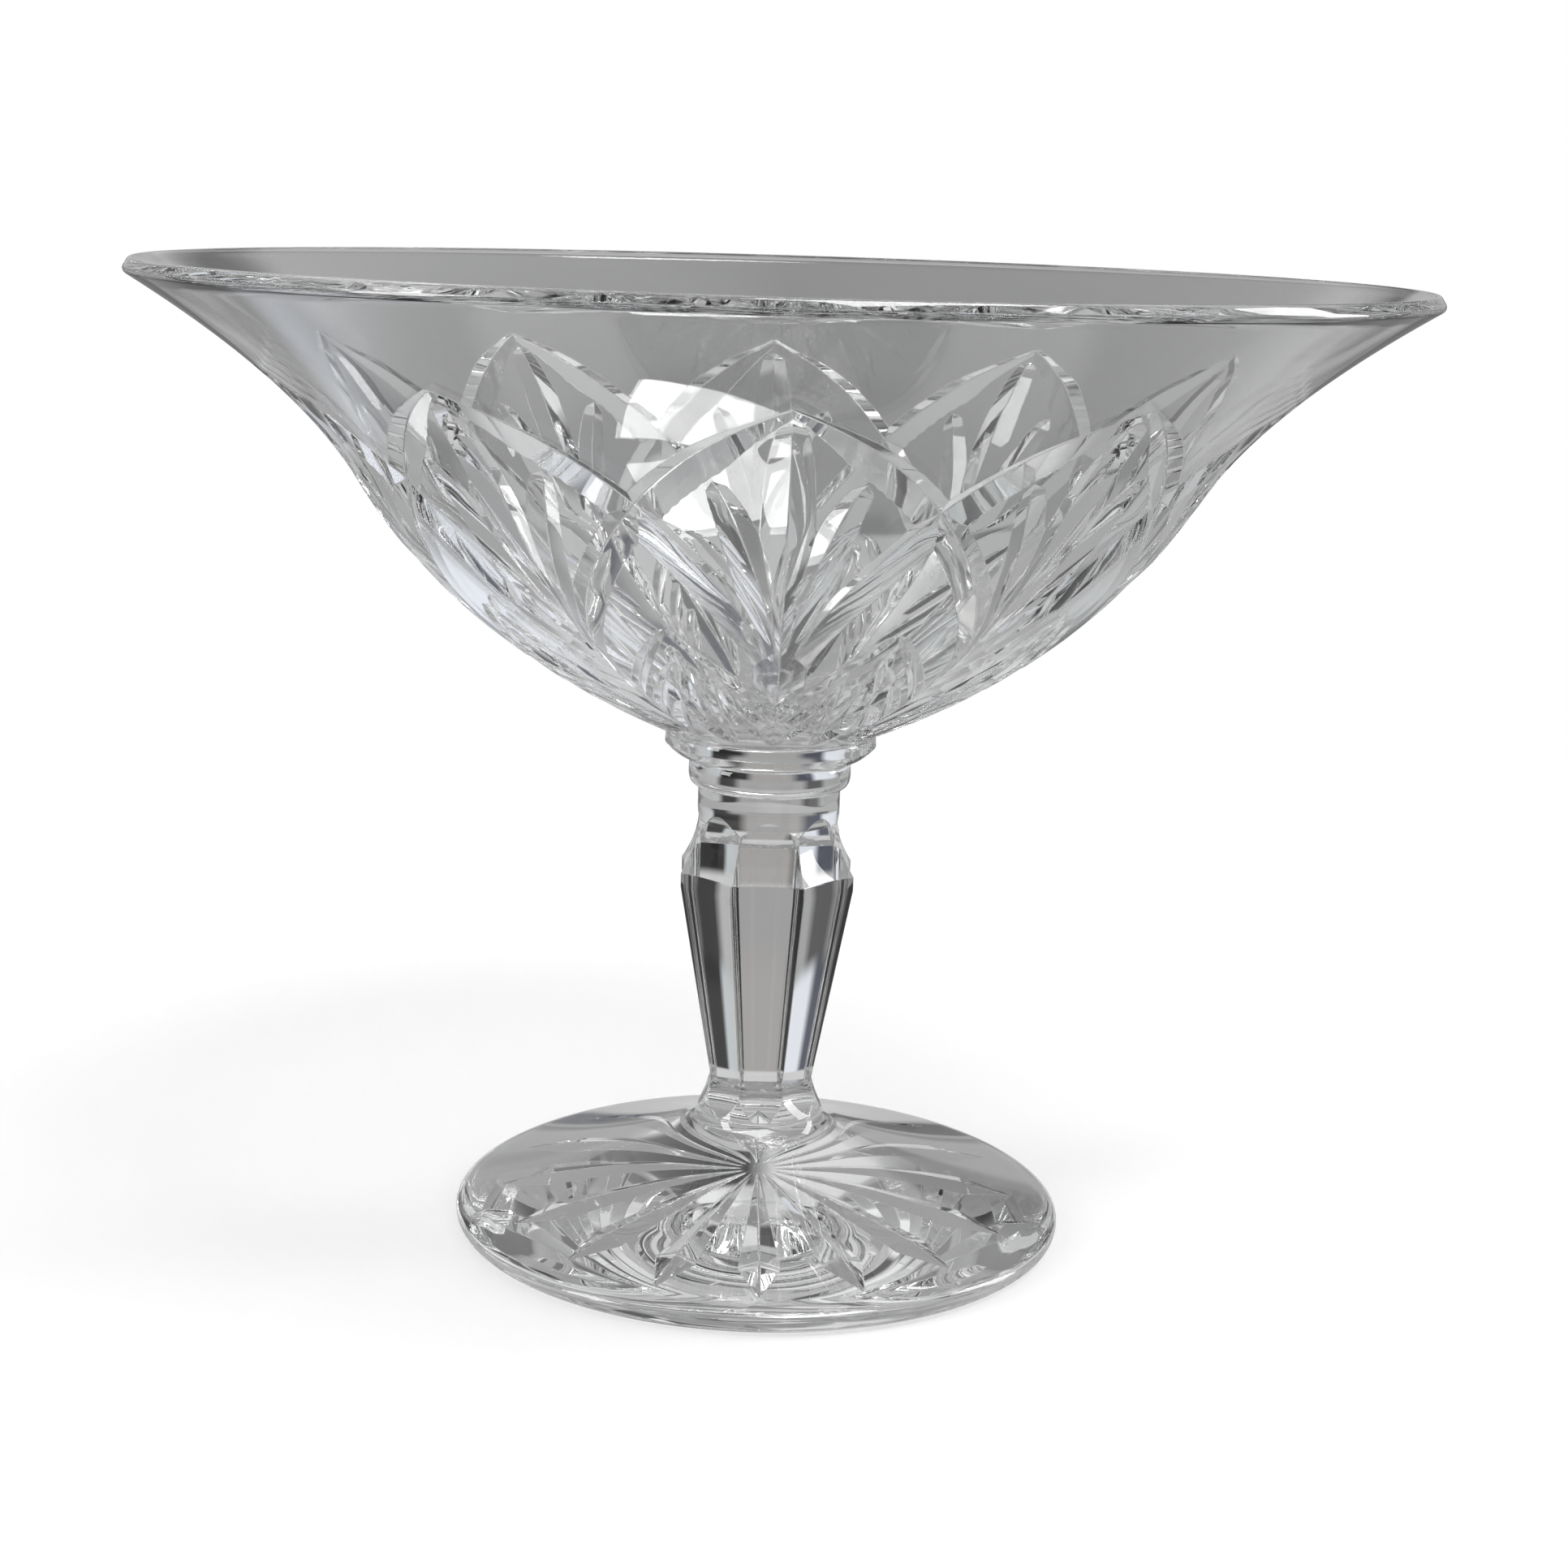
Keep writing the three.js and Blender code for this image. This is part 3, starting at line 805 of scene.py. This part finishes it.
# Zones laid over one another, each from its own limits of a value on
def zoneShade(tree, value, direction, zones):
    colour = 0.0
    for limits, shades in zones.items():
        shade = bearingShade(tree, direction, shades)
        colour = mixColour(tree, smoothStep(tree, value, limits), colour, shade)
    return colour


def floorMaterial():
    material = bpy.data.materials.new("paleFloor")
    material.use_nodes = True
    tree = material.node_tree
    tree.nodes.remove(tree.nodes["Principled BSDF"])
    camera, glass = rayKinds(tree)
    lifted = tree.nodes.new("ShaderNodeAddShader")
    tree.links.new(matte(tree, stage["shadowColour"]), lifted.inputs[0])
    tree.links.new(emission(tree, stage["shadowLift"]), lifted.inputs[1])
    place = tree.nodes.new("ShaderNodeTexCoord").outputs["Object"]
    reach = tree.nodes.new("ShaderNodeVectorMath")
    reach.operation = "LENGTH"
    tree.links.new(place, reach.inputs[0])
    fade = smoothStep(tree, reach.outputs["Value"], stage["shadowReach"])
    white = mixShader(tree, fade, lifted.outputs[0], emission(tree, 1.0))
    # For rays the glass reflects or passes, the floor glows in painted greys, with painted shade under
    # the foot and painted light round it
    grey = zoneShade(tree, reach.outputs["Value"], place, paintedFloorRings)
    plain = mixShader(tree, camera, matte(tree, stage["floorColour"]), white)
    both = mixShader(tree, glass, plain, emission(tree, grey))
    tree.links.new(both, tree.nodes["Material Output"].inputs["Surface"])
    return material


def roomWorld():
    world = bpy.data.worlds.new("room")
    world.use_nodes = True
    tree = world.node_tree
    camera, glass = rayKinds(tree)
    direction = tree.nodes.new("ShaderNodeTexCoord").outputs["Generated"]
    split = tree.nodes.new("ShaderNodeSeparateXYZ")
    tree.links.new(direction, split.inputs[0])
    behind = zoneShade(tree, split.outputs["Z"], direction, studioBands)
    rise = smoothStep(tree, split.outputs["Z"], studioFront["rise"])
    front = mixColour(tree, rise, studioFront["low"], studioFront["high"])
    turn = smoothStep(tree, split.outputs["Y"], studioFront["turn"])
    grey = mixColour(tree, turn, front, behind)
    room = mixColour(tree, glass, stage["roomLight"], grey)
    seen = mixColour(tree, camera, room, 1.0)
    tree.links.new(seen, tree.nodes["Background"].inputs["Color"])
    return world


def floorPanel():
    half, drop = stage["floorHalf"], -stage["floorDrop"]
    mesh = bpy.data.meshes.new("floor")
    corners = [(-half, -half, drop), (half, -half, drop), (half, half, drop), (-half, half, drop)]
    mesh.from_pydata(corners, [], [(0, 1, 2, 3)])
    mesh.materials.append(floorMaterial())
    item = bpy.data.objects.new("floor", mesh)
    bpy.context.scene.collection.objects.link(item)
    item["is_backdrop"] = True


floorPanel()
bpy.context.scene.world = roomWorld()


# Soft boxes, and whether each is seen through the glass
lampAim = (0.0, 0.0, 0.09)
lamps = {
    "overhead": {"place": (0.25, -0.27, 1.15), "size": (0.6, 0.42), "power": 10.0, "inGlass": True},
    "left": {"place": (-1.1, -0.5, 0.55), "size": (0.35, 0.9), "power": 9.0, "inGlass": False},
    "right": {"place": (1.0, 0.2, 0.5), "size": (0.25, 0.8), "power": 5.0, "inGlass": False},
}


def softBox(name, place, size, power, inGlass):
    data = bpy.data.lights.new(name, "AREA")
    data.shape = "RECTANGLE"
    data.size, data.size_y = size
    data.energy = power
    lamp = bpy.data.objects.new(name, data)
    lamp.visible_camera = False
    lamp.visible_transmission = inGlass
    bpy.context.scene.collection.objects.link(lamp)
    towards = Vector(lampAim) - Vector(place)
    turned = towards.to_track_quat("-Z", "Y").to_matrix().to_4x4()
    lamp.matrix_world = Matrix.Translation(place) @ turned


for name, lamp in lamps.items():
    softBox(name, **lamp)
print("stage and lamps set")


# Camera, fitted to the rim and foot ellipses of the photograph
view = {
    "azimuth": -1.2,
    "distance": 0.42106,
    "height": 0.16789,
    "pitch": 12.67,
    "roll": 1.75,
    "lens": 61.24,
    "sensor": 36.0,
    "shift": (0.0094, 0.0008),
}
camera = bpy.data.cameras.new("camera")
camera.lens = view["lens"]
camera.sensor_width = view["sensor"]
camera.shift_x, camera.shift_y = view["shift"]
camera.dof.use_dof = False
cameraObject = bpy.data.objects.new("camera", camera)
bpy.context.scene.collection.objects.link(cameraObject)
turn = math.radians(view["azimuth"])
tilt = Matrix.Rotation(math.radians(90 - view["pitch"]), 4, "X")
roll = Matrix.Rotation(math.radians(view["roll"]), 4, "Z")
spot = Matrix.Translation((0, -view["distance"], view["height"]))
cameraObject.matrix_world = Matrix.Rotation(turn, 4, "Z") @ spot @ tilt @ roll

scene = bpy.context.scene
scene.camera = cameraObject
scene.view_settings.view_transform = "Standard"
scene.cycles.max_bounces = 32
scene.cycles.transmission_bounces = 32
scene.cycles.glossy_bounces = 16
scene.cycles.transparent_max_bounces = 32

boxes = {"cad": cadBounds, "visual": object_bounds()}
sizes = {name: [list(corner) for corner in box] for name, box in boxes.items()}
print("camera set")
